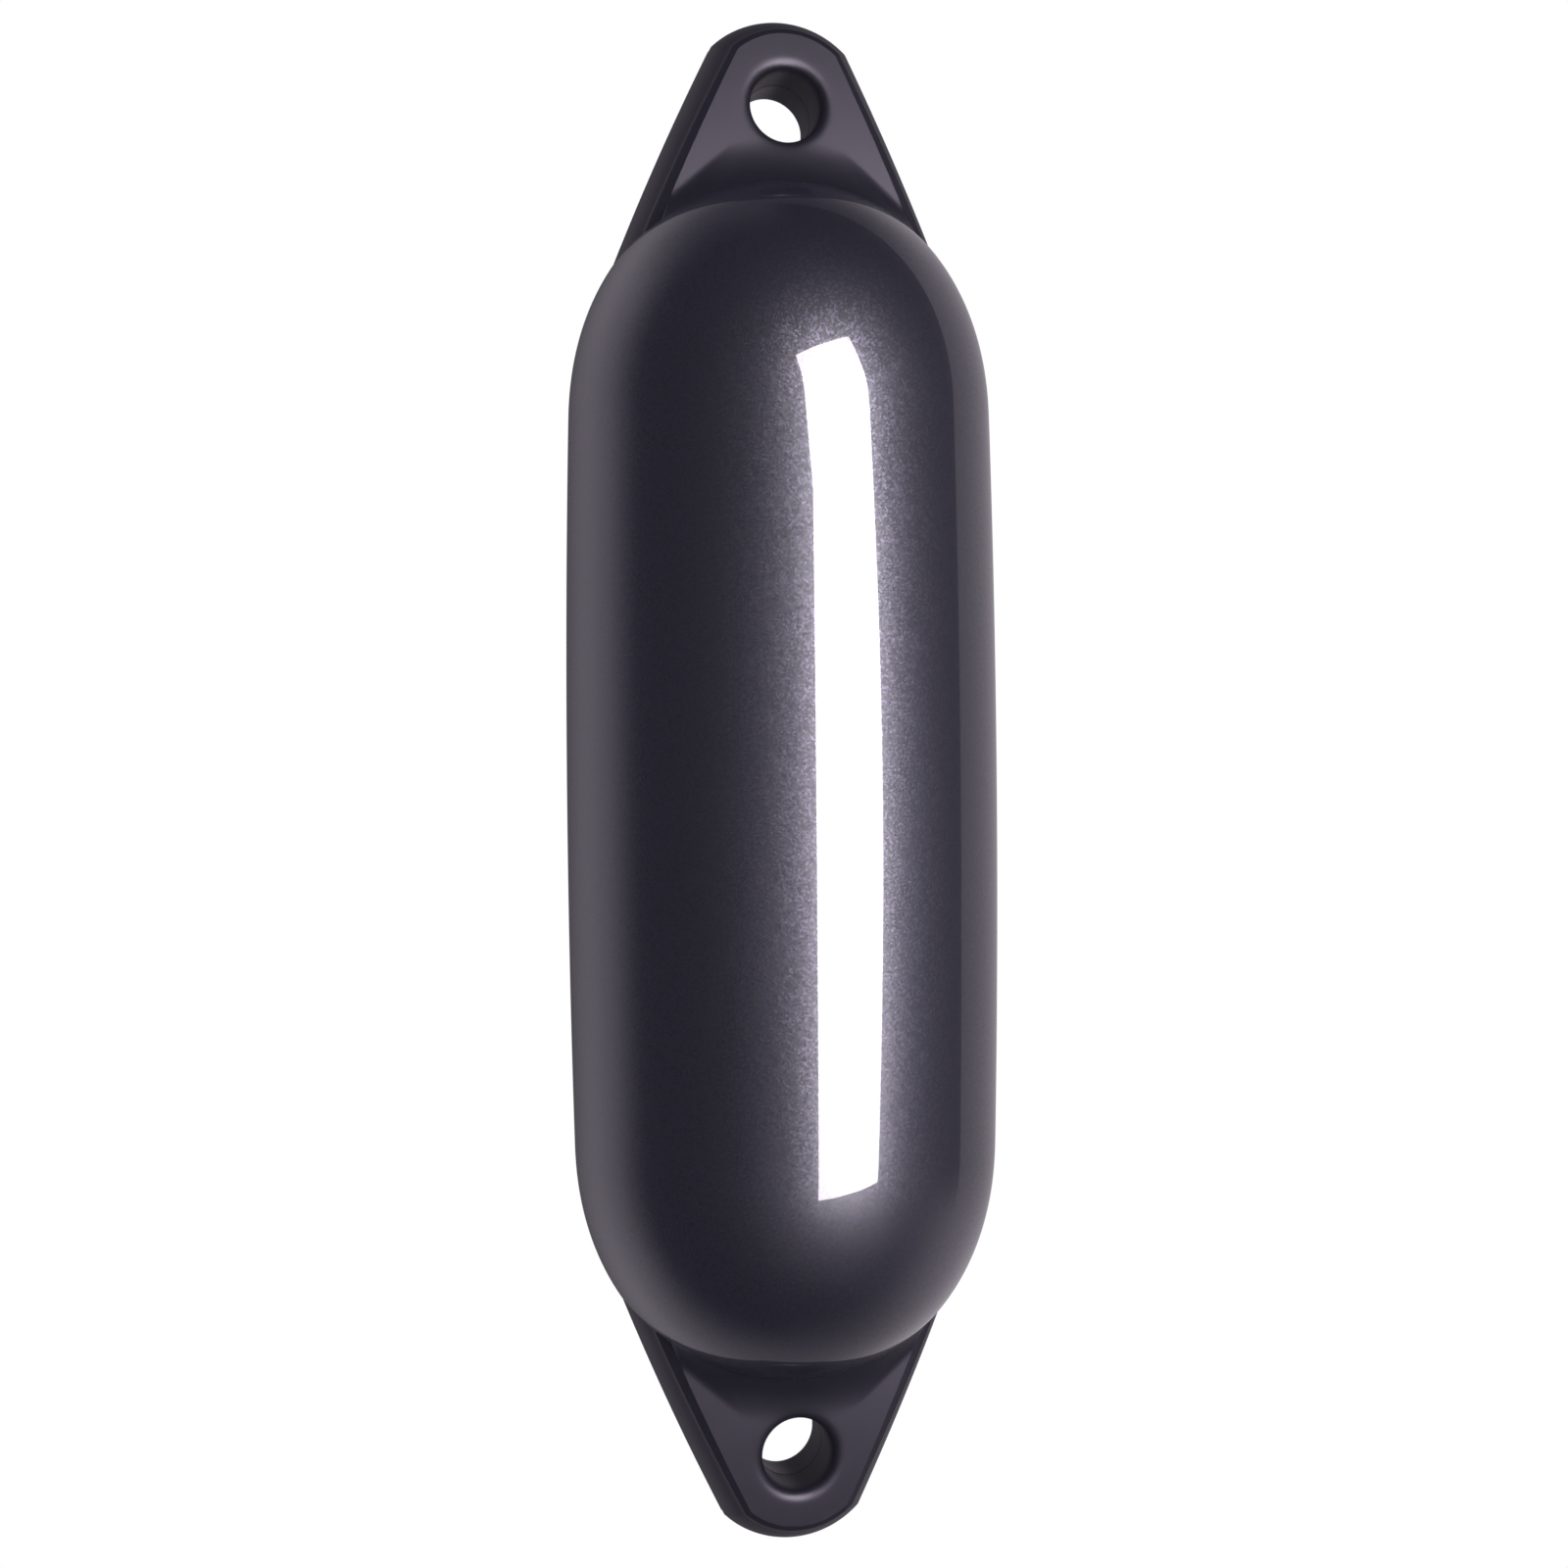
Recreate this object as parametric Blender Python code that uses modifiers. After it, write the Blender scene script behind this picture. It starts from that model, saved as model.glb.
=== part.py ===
"""Boat fender: a sealed, air-filled vinyl barrel with a rope lug on each end.

The barrel, both domes and both lugs come out of one mould as one piece. The only
other piece is the soft needle valve that the fender is pumped up through, pressed
into a pocket in the back shoulder. Metres, +Z up along the fender, lug faces at -Y and +Y.
"""
import math

import bmesh
import bpy
from mathutils import Matrix, Vector

# Barrel and domes
BODY_RADIUS = 0.075          # at the middle of the barrel
BARREL_CROWN = 0.0016        # how much the barrel has thinned where a dome starts
BARREL_HALF = 0.1254         # from the middle to the start of a dome
DOME_HEIGHT = 0.0812
DOME_CLIMB_POWER = 2.18      # the dome is a rounded ellipse, and both powers of a plain one are 2
DOME_WIDTH_POWER = 2.28

# Lugs, measured from the top of the dome that they stand on
LUG_REACH = 0.0572           # dome top to lug tip
LUG_THICKNESS = 0.036        # face to face
LUG_BAND = 0.010             # thickness of the upright band round the lug, with the parting line on it
LUG_DRAFT = 0.0094           # how far each face's outline lies inside the band
LUG_LEAN = math.radians(23.6)
LUG_BOW = 0.0013             # how far each side swells out of a straight line
WALL_SWELL = 0.0010          # how far the drafted wall swells between face and band
TIP_RADIUS = 0.034
TIP_HALF_WIDTH = 0.0241      # at the corners where the tip arc meets the sides
EDGE_AT_TIP = 0.0006         # rounding of the face's edge, which grows towards the dome
EDGE_AT_ROOT = 0.0021
FOOT_DEPTH = 0.014           # how far the lug's foot runs on inside the dome, below its sides

# Eye for the rope
EYE_ABOVE_DOME = 0.0249      # dome top to the middle of the eye
EYE_RADIUS = 0.0121          # at its throat
EYE_THROAT = 0.018           # length of the straight stretch in the middle of the eye
EYE_FLARE = 0.0052           # how much wider the eye is where it opens on a face

# Concave valley that joins a lug's face to the dome below it
VALLEY_RADIUS = 0.0136
VALLEY_END_RADIUS = 0.0020   # on the wings at either side of the valley
VALLEY_APEX = 0.050          # above the dome's top, where the valley's two sides would meet
VALLEY_FULL = math.radians(23)   # seen from there, its full radius reaches this far to either side
VALLEY_END = math.radians(41)    # and has shrunk to the end radius here
VALLEY_SINK = 0.0003         # how deep the valley's foot runs under the dome's skin

# Valve
VALVE_BELOW_BARREL = 0.030   # from the start of the lower dome
VALVE_RADIUS = 0.0065
VALVE_LENGTH = 0.011
VALVE_EDGE = 0.0008
VALVE_SETBACK = 0.0004       # its face lies this far inside the boss
NEEDLE_RADIUS = 0.0009
NEEDLE_DEPTH = 0.007
FUNNEL_RADIUS = 0.0024
FUNNEL_DEPTH = 0.0011
BOSS_RADIUS = 0.0115
BOSS_RISE = 0.0006           # above the dome at the boss's middle
BOSS_EDGE = 0.0005
SEAT_GAP = 0.0003            # clearance between the valve and its pocket
EDGE_MIDDLE = 0.3            # how far in a rounded edge's middle point lies, as a share of the edge

# Fineness
TURN_STEPS = 64
BARREL_STEPS = 8
DOME_STEPS = 12
TIP_STEPS = 8
SIDE_STEPS = 14
FOOT_STEPS = 5
FLARE_STEPS = 4
FACE_STEPS = 9
ROW_CROWDING = 1.3           # above 1 crowds a face's rows towards its edge and the dome
EDGE_STEPS = 2
WALL_STEPS = 2
VALVE_STEPS = 40
MERGE = 0.00002
SCAN_STEP = 0.0001           # for finding where a lug runs into the dome
FACE_SCAN = 400              # places tried on the way from eye to edge

DOME_TOP = BARREL_HALF + DOME_HEIGHT
TIP_CENTRE = DOME_TOP + LUG_REACH - TIP_RADIUS
EYE_HEIGHT = DOME_TOP + EYE_ABOVE_DOME
HALF_THICKNESS = LUG_THICKNESS / 2
HALF_BAND = LUG_BAND / 2


def clear_scene():
    for item in list(bpy.data.objects):
        bpy.data.objects.remove(item, do_unlink=True)
    for mesh in list(bpy.data.meshes):
        bpy.data.meshes.remove(mesh)


def new_collection(name):
    group = bpy.data.collections.new(name)
    bpy.context.scene.collection.children.link(group)
    return group


def new_object(name, mesh, group):
    item = bpy.data.objects.new(name, mesh)
    group.objects.link(item)
    return item


def make_cutter(item):
    item.hide_render = True
    item.display_type = 'WIRE'


def plastic(name, colour, roughness, coat=0.0):
    material = bpy.data.materials.new(name)
    material.use_nodes = True
    shader = material.node_tree.nodes["Principled BSDF"]
    shader.inputs["Base Color"].default_value = (*colour, 1.0)
    shader.inputs["Roughness"].default_value = roughness
    shader.inputs["Metallic"].default_value = 0.0
    shader.inputs["Coat Weight"].default_value = coat
    return material


def profile_mesh(name, points):
    """An open chain of edges from (radius, height) pairs, in the XZ plane."""
    shape = bmesh.new()
    chain = [shape.verts.new((radius, 0.0, height)) for radius, height in points]
    for upper, lower in zip(chain, chain[1:]):
        shape.edges.new((upper, lower))
    mesh = bpy.data.meshes.new(name)
    shape.to_mesh(mesh)
    shape.free()
    return mesh


def turn(item, steps):
    """Screw the profile once round Z."""
    screw = item.modifiers.new("turned", 'SCREW')
    screw.steps = steps
    screw.render_steps = steps
    screw.use_merge_vertices = True
    screw.merge_threshold = MERGE
    screw.use_smooth_shade = True
    return screw


def join(item, other, operation):
    cut = item.modifiers.new(operation.lower(), 'BOOLEAN')
    cut.object = other
    cut.operation = operation
    cut.solver = 'EXACT'
    return cut


def body_radius(height):
    """Radius of the barrel or dome at a height above the middle."""
    barrel = BODY_RADIUS - BARREL_CROWN * (height / BARREL_HALF) ** 2
    climb = max(0.0, abs(height) - BARREL_HALF) / DOME_HEIGHT
    return barrel * max(0.0, 1.0 - climb ** DOME_CLIMB_POWER) ** (1 / DOME_WIDTH_POWER)


def body_profile():
    """From the top of the upper dome down the outside to the bottom of the lower one."""
    dome = []
    for step in range(DOME_STEPS):
        swing = math.pi / 2 * (1 - step / DOME_STEPS)
        dome.append(BARREL_HALF + DOME_HEIGHT * math.sin(swing))
    barrel = [BARREL_HALF * (1 - 2 * step / BARREL_STEPS) for step in range(BARREL_STEPS + 1)]
    heights = dome + barrel + [-height for height in reversed(dome)]
    return [(body_radius(height), height) for height in heights]


def corner_turn(inset):
    """Angle round the tip arc at which it meets a side, both moved inwards by inset."""
    first = math.asin(TIP_HALF_WIDTH / TIP_RADIUS)
    reach = TIP_RADIUS * math.sin(first + LUG_LEAN) - inset
    return math.asin(reach / (TIP_RADIUS - inset)) - LUG_LEAN


def tip_point(inset, share):
    swing = corner_turn(inset) * share
    radius = TIP_RADIUS - inset
    return radius * math.sin(swing), TIP_CENTRE + radius * math.cos(swing)


def straight_side(inset, height):
    """Half width of the lug at a height, before its sides are bowed."""
    corner_x, corner_height = tip_point(inset, 1.0)
    return corner_x + (corner_height - height) * math.tan(LUG_LEAN)


def dome_heights():
    """Heights down a dome from its top to the barrel."""
    count = int(DOME_HEIGHT / SCAN_STEP)
    return [DOME_TOP - DOME_HEIGHT * step / count for step in range(count + 1)]


def deepest_side():
    """Height at which a side at the parting line lies deepest inside the dome."""
    return max(dome_heights(), key=lambda height: body_radius(height) - straight_side(0.0, height))


def wing_foot():
    """Height at which the outline of a lug's face runs into the dome."""
    for height in dome_heights():
        if math.hypot(straight_side(LUG_DRAFT, height), HALF_THICKNESS) < body_radius(height):
            return height
    return DOME_TOP - DOME_HEIGHT


SIDE_END = deepest_side()
WING_FOOT = wing_foot()


def outline_point(index, inset):
    """Point of the lug's half outline, counted from the tip down to the foot's middle."""
    if index <= TIP_STEPS:
        return tip_point(inset, index / TIP_STEPS)
    if index <= TIP_STEPS + SIDE_STEPS:
        share = (index - TIP_STEPS) / SIDE_STEPS
        corner_height = tip_point(inset, 1.0)[1]
        height = corner_height + (SIDE_END - corner_height) * share
        bow = LUG_BOW * 4 * share * (1 - share)
        return straight_side(inset, height) + bow, height
    share = (index - TIP_STEPS - SIDE_STEPS - 1) / FOOT_STEPS
    return straight_side(inset, SIDE_END) * (1 - share), SIDE_END - FOOT_DEPTH


OUTLINE_COUNT = TIP_STEPS + SIDE_STEPS + FOOT_STEPS + 2


def edge_width(height):
    """Width of the rounding on the face's edge, which grows from tip to dome."""
    tip_height = DOME_TOP + LUG_REACH
    share = min(1.0, (tip_height - height) / (tip_height - WING_FOOT))
    return EDGE_AT_TIP + (EDGE_AT_ROOT - EDGE_AT_TIP) * share


def dome_ball():
    """Centre height and radius of the ball through the dome's top and the wings' feet."""
    drop = DOME_TOP - WING_FOOT
    radius = (body_radius(WING_FOOT) ** 2 + drop ** 2) / (2 * drop)
    return DOME_TOP - radius, radius


BALL_HEIGHT, BALL_RADIUS = dome_ball()


def valley_bend(x, height):
    """Radius of the valley at a point of the lug's face, and the angle it has bent by there."""
    across = math.hypot(x, height - BALL_HEIGHT)
    swing = math.atan2(abs(x), DOME_TOP + VALLEY_APEX - height)
    fade = min(1.0, max(0.0, (VALLEY_END - swing) / (VALLEY_END - VALLEY_FULL)))
    fade = fade * fade * (3 - 2 * fade)
    radius = VALLEY_END_RADIUS + (VALLEY_RADIUS - VALLEY_END_RADIUS) * fade
    ball = BALL_RADIUS - VALLEY_SINK
    start = math.sqrt((ball + radius) ** 2 - (HALF_THICKNESS + radius) ** 2)
    foot = start * ball / (ball + radius)
    run = start - max(foot, min(start, across))
    return radius, math.asin(run / radius), math.asin((start - foot) / radius)


def valley_rise(x, height):
    """How far the valley lifts the lug's face at a point, on its way up onto the dome."""
    radius, bend, _ = valley_bend(x, height)
    return radius * (1 - math.cos(bend))


def face_shares(rim, inner):
    """Places on the way from the eye's rim to the face's edge, all but the last outside the dome."""
    last = FACE_STEPS / (FACE_STEPS + 1)
    bare = last
    for step in range(FACE_SCAN):
        share = step / FACE_SCAN
        x = rim[0] + (inner[0] - rim[0]) * share
        height = rim[1] + (inner[1] - rim[1]) * share
        _, bend, full = valley_bend(x, height)
        if bend >= full:
            bare = min(last, share)
            break
    ways = [1 - (1 - step / FACE_STEPS) ** ROW_CROWDING for step in range(1, FACE_STEPS + 1)]
    return [bare * way for way in ways] + [1.0]


def lug_column(index):
    """One line of points from the eye's throat over the face to the parting line."""
    face_height = outline_point(index, LUG_DRAFT)[1]
    edge = edge_width(face_height)
    inner = outline_point(index, LUG_DRAFT + edge)
    swing = math.atan2(inner[0], inner[1] - EYE_HEIGHT)
    across, along = math.sin(swing), math.cos(swing)

    column = [(EYE_RADIUS * across, 0.0, EYE_HEIGHT + EYE_RADIUS * along)]
    flare_depth = HALF_THICKNESS - EYE_THROAT / 2
    for step in range(FLARE_STEPS + 1):
        bend = math.pi / 2 * step / FLARE_STEPS
        radius = EYE_RADIUS + EYE_FLARE * (1 - math.cos(bend))
        x, height = radius * across, EYE_HEIGHT + radius * along
        depth = EYE_THROAT / 2 + flare_depth * math.sin(bend)
        column.append((x, -depth - valley_rise(x, height) * step / FLARE_STEPS, height))

    rim = (column[-1][0], column[-1][2])
    for share in face_shares(rim, inner):
        x = rim[0] + (inner[0] - rim[0]) * share
        height = rim[1] + (inner[1] - rim[1]) * share
        column.append((x, -HALF_THICKNESS - valley_rise(x, height), height))

    draft_angle = math.atan2(LUG_DRAFT, HALF_THICKNESS - HALF_BAND)
    wall_inset = LUG_DRAFT - edge * math.sin(draft_angle)
    wall_depth = HALF_THICKNESS - edge * math.cos(draft_angle)
    for step in range(1, EDGE_STEPS + 1):
        share = step / EDGE_STEPS
        inset = (1 - share) ** 2 * (LUG_DRAFT + edge) + 2 * share * (1 - share) * LUG_DRAFT
        inset += share ** 2 * wall_inset
        depth = (1 - share ** 2) * HALF_THICKNESS + share ** 2 * wall_depth
        x, height = outline_point(index, inset)
        column.append((x, -depth, height))
    for step in range(1, WALL_STEPS + 1):
        share = step / WALL_STEPS
        swell = WALL_SWELL * 4 * share * (1 - share)
        x, height = outline_point(index, wall_inset * (1 - share) - swell)
        column.append((x, -wall_depth * (1 - share) - HALF_BAND * share, height))
    x, height = outline_point(index, 0.0)
    column.append((x, 0.0, height))
    return column


def make_lugs(group):
    """Both lugs as one quarter of a lug, mirrored in X, Y and Z."""
    shape = bmesh.new()
    columns = [[shape.verts.new(point) for point in lug_column(index)] for index in range(OUTLINE_COUNT)]
    for left, right in zip(columns, columns[1:]):
        for row in range(len(left) - 1):
            shape.faces.new((left[row], left[row + 1], right[row + 1], right[row]))
    mesh = bpy.data.meshes.new("lug_quarter")
    shape.to_mesh(mesh)
    shape.free()
    lugs = new_object("lug_pair", mesh, group)
    mirror = lugs.modifiers.new("other_quarters", 'MIRROR')
    mirror.use_axis = (True, True, True)
    mirror.merge_threshold = MERGE
    make_cutter(lugs)
    return lugs


def valve_seat():
    """Where the valve's axis leaves the back of the lower dome, and the way it points."""
    height = -BARREL_HALF - VALVE_BELOW_BARREL
    slope = (body_radius(height + SCAN_STEP) - body_radius(height - SCAN_STEP)) / (2 * SCAN_STEP)
    outward = Vector((0.0, 1.0, -slope)).normalized()
    place = Vector((0.0, body_radius(height), height))
    return Matrix.Translation(place) @ outward.to_track_quat('Z', 'X').to_matrix().to_4x4()


def make_disc(name, radius, low, high, place, group):
    """A plain cylinder on the valve's axis, between two heights along it."""
    shape = bmesh.new()
    bmesh.ops.create_cone(shape, cap_ends=True, segments=VALVE_STEPS, radius1=radius, radius2=radius,
                          depth=high - low, matrix=Matrix.Translation((0.0, 0.0, (low + high) / 2)))
    mesh = bpy.data.meshes.new(name)
    shape.to_mesh(mesh)
    shape.free()
    disc = new_object(name, mesh, group)
    disc.matrix_world = place
    make_cutter(disc)
    return disc


def make_body(parts, cutters, seat):
    body = new_object("fender_body", profile_mesh("fender_body", body_profile()), parts)
    turn(body, TURN_STEPS)
    join(body, make_lugs(cutters), 'UNION')
    boss = make_disc("valve_boss", BOSS_RADIUS, -BOSS_RADIUS, BOSS_RISE, seat, cutters)
    rounding = boss.modifiers.new("rounded_rim", 'BEVEL')
    rounding.width = BOSS_EDGE
    rounding.segments = 2
    join(body, boss, 'UNION')
    floor = BOSS_RISE - VALVE_SETBACK - VALVE_LENGTH - SEAT_GAP
    mouth = 2 * BOSS_RISE + SEAT_GAP
    pocket = make_disc("valve_pocket", VALVE_RADIUS + SEAT_GAP, floor, mouth, seat, cutters)
    join(body, pocket, 'DIFFERENCE')
    body.data.materials.append(plastic("dark_vinyl", (0.016, 0.015, 0.020), 0.12, 1.0))
    return body


def make_valve(parts, seat):
    top = BOSS_RISE - VALVE_SETBACK
    outline = [
        (0.0, top - NEEDLE_DEPTH),
        (NEEDLE_RADIUS, top - NEEDLE_DEPTH),
        (NEEDLE_RADIUS, top - FUNNEL_DEPTH),
        (FUNNEL_RADIUS, top),
        (VALVE_RADIUS - VALVE_EDGE, top),
        (VALVE_RADIUS - VALVE_EDGE * EDGE_MIDDLE, top - VALVE_EDGE * EDGE_MIDDLE),
        (VALVE_RADIUS, top - VALVE_EDGE),
        (VALVE_RADIUS, top - VALVE_LENGTH),
        (0.0, top - VALVE_LENGTH),
    ]
    valve = new_object("needle_valve", profile_mesh("needle_valve", outline), parts)
    valve.matrix_world = seat
    turn(valve, VALVE_STEPS)
    valve.data.materials.append(plastic("valve_rubber", (0.02, 0.02, 0.022), 0.6))
    return valve


def main():
    clear_scene()
    parts = new_collection("boat_fender")
    cutters = new_collection("cutters")
    seat = valve_seat()
    make_body(parts, cutters, seat)
    make_valve(parts, seat)


main()
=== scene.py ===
# %% [markdown]
# # A boat fender
#
# The real fender is one hollow moulding of metal-flake vinyl: a barrel with domed ends, and a
# rope lug on each dome. Its barrel is as shiny as a painted car, and its lugs are satin,
# because that part of the mould is finely blasted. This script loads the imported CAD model
# as a fixed frame, and then makes the same shape again with a fine surface.

# %% Load the frame
import math

import bmesh
import bpy
from mathutils import Matrix, Vector


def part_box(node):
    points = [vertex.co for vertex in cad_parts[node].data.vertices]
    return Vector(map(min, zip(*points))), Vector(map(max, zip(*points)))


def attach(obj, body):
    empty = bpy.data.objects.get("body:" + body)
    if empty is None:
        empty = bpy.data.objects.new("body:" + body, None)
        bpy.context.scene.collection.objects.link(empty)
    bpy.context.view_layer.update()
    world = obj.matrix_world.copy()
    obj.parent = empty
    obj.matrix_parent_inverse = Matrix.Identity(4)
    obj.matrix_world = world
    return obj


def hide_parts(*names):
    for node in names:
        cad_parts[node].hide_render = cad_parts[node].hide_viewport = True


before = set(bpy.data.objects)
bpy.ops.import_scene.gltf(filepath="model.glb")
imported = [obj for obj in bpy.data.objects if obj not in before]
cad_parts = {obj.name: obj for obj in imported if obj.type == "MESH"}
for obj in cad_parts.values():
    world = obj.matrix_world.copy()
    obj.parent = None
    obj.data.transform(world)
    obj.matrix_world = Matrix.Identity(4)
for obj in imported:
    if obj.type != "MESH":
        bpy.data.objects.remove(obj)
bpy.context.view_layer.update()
body_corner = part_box("fender_body")[1]

# %% [markdown]
# ## Sizes
#
# Everything is worked out from a few lengths in metres. The frame gives the overall ones, so
# the fine surface can't drift away from the CAD model. Most of the others repeat the
# fender's driving dimensions, which no box of a node could tell. The eye's roll and the
# hollow below it run out more softly here than on the CAD model, and the lug's face
# reaches up to 3 mm further, as the photograph shows them.

# %% Sizes of the barrel and the domes
BODY_RADIUS = body_corner[0]
LUG_TIP = body_corner[2]
BARREL_CROWN = 0.0016          # how much the barrel has thinned where a dome starts
BARREL_HALF = 0.1254           # from the middle to the start of a dome
DOME_HEIGHT = 0.0812
DOME_CLIMB_POWER = 2.18        # both powers are 2 in a plain ellipse, and more fills it out
DOME_WIDTH_POWER = 2.28
DOME_TOP = BARREL_HALF + DOME_HEIGHT
print("Barrel across, mm:", round(BODY_RADIUS * 2000, 1))
print("Lug above the dome, mm:", round((LUG_TIP - DOME_TOP) * 1000, 1))

# %% Sizes of a lug
LUG_THICKNESS = 0.036          # face to face
LUG_BAND = 0.010               # the upright band round the lug, with the parting line on it
FACE_INSET = 0.0083            # how far each face's outline lies inside the band, all round
LUG_LEAN = math.radians(23.6)
LUG_BOW = 0.0013               # how far each side swells out of a straight line
WALL_SWELL = 0.0010            # how far the drafted wall swells between face and band
TIP_RADIUS = 0.034
TIP_HALF_WIDTH = 0.0241        # at the corners where the tip arc meets the sides
TIP_CENTRE = LUG_TIP - TIP_RADIUS
EDGE_AT_TIP = 0.0006           # width of the face's chamfer, which grows towards the dome
EDGE_AT_ROOT = 0.0016
FOOT_DEPTH = 0.014             # how far the lug's foot runs on inside the dome
HALF_THICKNESS = LUG_THICKNESS / 2
HALF_BAND = LUG_BAND / 2

EYE_HEIGHT = DOME_TOP + 0.0249
EYE_RADIUS = 0.0121            # at its throat
EYE_THROAT = 0.018             # length of the straight stretch in the middle of the eye
EYE_FLARE = 0.0060             # how much wider the eye is where its roll runs out on a face
EYE_ROLL_POWER = 4.0           # 2 is a plain ellipse, and more runs out flatter on the face

VALLEY_RADIUS = 0.025          # the hollow that joins a lug's face to the dome
VALLEY_END_RADIUS = 0.0045     # what it has shrunk to on the wings at either side
VALLEY_APEX = 0.050            # height above the dome where the hollow's two sides would meet
VALLEY_FULL = math.radians(25)  # seen from there, the full radius reaches this far out
VALLEY_END = math.radians(38)   # and the hollow has shrunk to its end radius here
VALLEY_SINK = 0.0028           # how deep the hollow's foot runs under the dome's skin
VALLEY_END_SINK = 0.0003       # the same on the wings

SEAM_HEIGHT = 0.00016          # the parting line stands this far out of the band
SEAM_HALF_WIDTH = 0.00045
BEAD_HEIGHT = 0.00045          # fine bead between the chamfer and the drafted wall
BEAD_HALF_WIDTH = 0.00065
CREASE = 0.00012               # distance of the rows that hold a crisp edge in place
print("Eye across, mm:", EYE_RADIUS * 2000, "flared to", round((EYE_RADIUS + EYE_FLARE) * 2000, 1))

# %% [markdown]
# ## Small helpers for node trees
#
# A tree that is built in a script is easiest to read when each node is one short line. The
# first helper adds a node and wires or sets its inputs, and the second does the same for
# a Math node, so that a formula reads almost as it would on paper.


# %% Node helpers
def add_node(tree, kind, inputs=None, **settings):
    """A node with its settings. An input is a number, a name or another node's output."""
    node = tree.nodes.new(kind)
    for name, value in settings.items():
        setattr(node, name, value)
    for name, value in (inputs or {}).items():
        if isinstance(value, bpy.types.NodeSocket):
            tree.links.new(value, node.inputs[name])
        else:
            node.inputs[name].default_value = value
    return node


def calculate(tree, operation, *values):
    node = tree.nodes.new("ShaderNodeMath")
    node.operation = operation
    for place, value in enumerate(values):
        if isinstance(value, bpy.types.NodeSocket):
            tree.links.new(value, node.inputs[place])
        else:
            node.inputs[place].default_value = value
    return node.outputs[0]


def spread_nodes(tree, step=190, rows=6):
    """Lay the nodes out in columns, so that the tree can be read in the editor."""
    for place, node in enumerate(tree.nodes):
        node.location = (place // rows * step, -(place % rows) * step)


print("Helpers:", add_node.__name__, calculate.__name__, spread_nodes.__name__)

# %% [markdown]
# ## Barrel and domes
#
# The barrel is a little fatter in the middle, and each dome is a rounded ellipse. Such a
# form follows a rule, so Geometry Nodes make it: a row of points climbs the axis, a formula
# gives each its height and radius, and a circle is swept along them, scaled by the radius. A
# Screw modifier would need a profile of fixed points, while here the lengths stay inputs.

# %% Height and radius of a ring as nodes
BODY_INPUTS = {
    "Body Radius": BODY_RADIUS,
    "Barrel Crown": BARREL_CROWN,
    "Barrel Half": BARREL_HALF,
    "Dome Height": DOME_HEIGHT,
    "Climb Power": DOME_CLIMB_POWER,
    "Width Power": DOME_WIDTH_POWER,
    "Barrel Share": 0.32,      # share of the rings that lie on the barrel
    "Rings": 141,
    "Ring Steps": 240,
}


def ring_height(tree, size):
    """Height of a ring above the middle, its sign and how far it has climbed its dome."""
    ring = add_node(tree, "GeometryNodeInputIndex").outputs["Index"]
    last = calculate(tree, 'SUBTRACT', size["Rings"], 1)
    way = calculate(tree, 'MULTIPLY_ADD', calculate(tree, 'DIVIDE', ring, last), 2, -1)
    side = calculate(tree, 'SIGN', way)
    reach = calculate(tree, 'ABSOLUTE', way)
    along = calculate(tree, 'MINIMUM', calculate(tree, 'DIVIDE', reach, size["Barrel Share"]), 1)
    beyond = calculate(tree, 'MAXIMUM', calculate(tree, 'SUBTRACT', reach, size["Barrel Share"]), 0)
    dome_part = calculate(tree, 'SUBTRACT', 1, size["Barrel Share"])
    swing = calculate(tree, 'MULTIPLY', calculate(tree, 'DIVIDE', beyond, dome_part), math.pi / 2)
    climb = calculate(tree, 'SINE', swing)
    straight = calculate(tree, 'MULTIPLY', along, size["Barrel Half"])
    return calculate(tree, 'MULTIPLY_ADD', climb, size["Dome Height"], straight), side, climb


def ring_radius(tree, size, height, climb):
    thinning = calculate(tree, 'POWER', calculate(tree, 'DIVIDE', height, size["Barrel Half"]), 2)
    lost = calculate(tree, 'MULTIPLY', thinning, size["Barrel Crown"])
    barrel = calculate(tree, 'SUBTRACT', size["Body Radius"], lost)
    open_part = calculate(tree, 'SUBTRACT', 1, calculate(tree, 'POWER', climb, size["Climb Power"]))
    closing = calculate(tree, 'MAXIMUM', open_part, 0)
    roundness = calculate(tree, 'POWER', closing, calculate(tree, 'DIVIDE', 1, size["Width Power"]))
    return calculate(tree, 'MULTIPLY', barrel, roundness)


print("Rings along the axis:", BODY_INPUTS["Rings"], "of", BODY_INPUTS["Ring Steps"], "steps")

# %% [markdown]
# The tree puts the two formulas to work. Points that lie together at the poles are welded,
# and the result is made real and given its material, so that it can be copied later.

# %% The turned body as a node tree
POLE_MERGE = 0.00001


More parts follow.
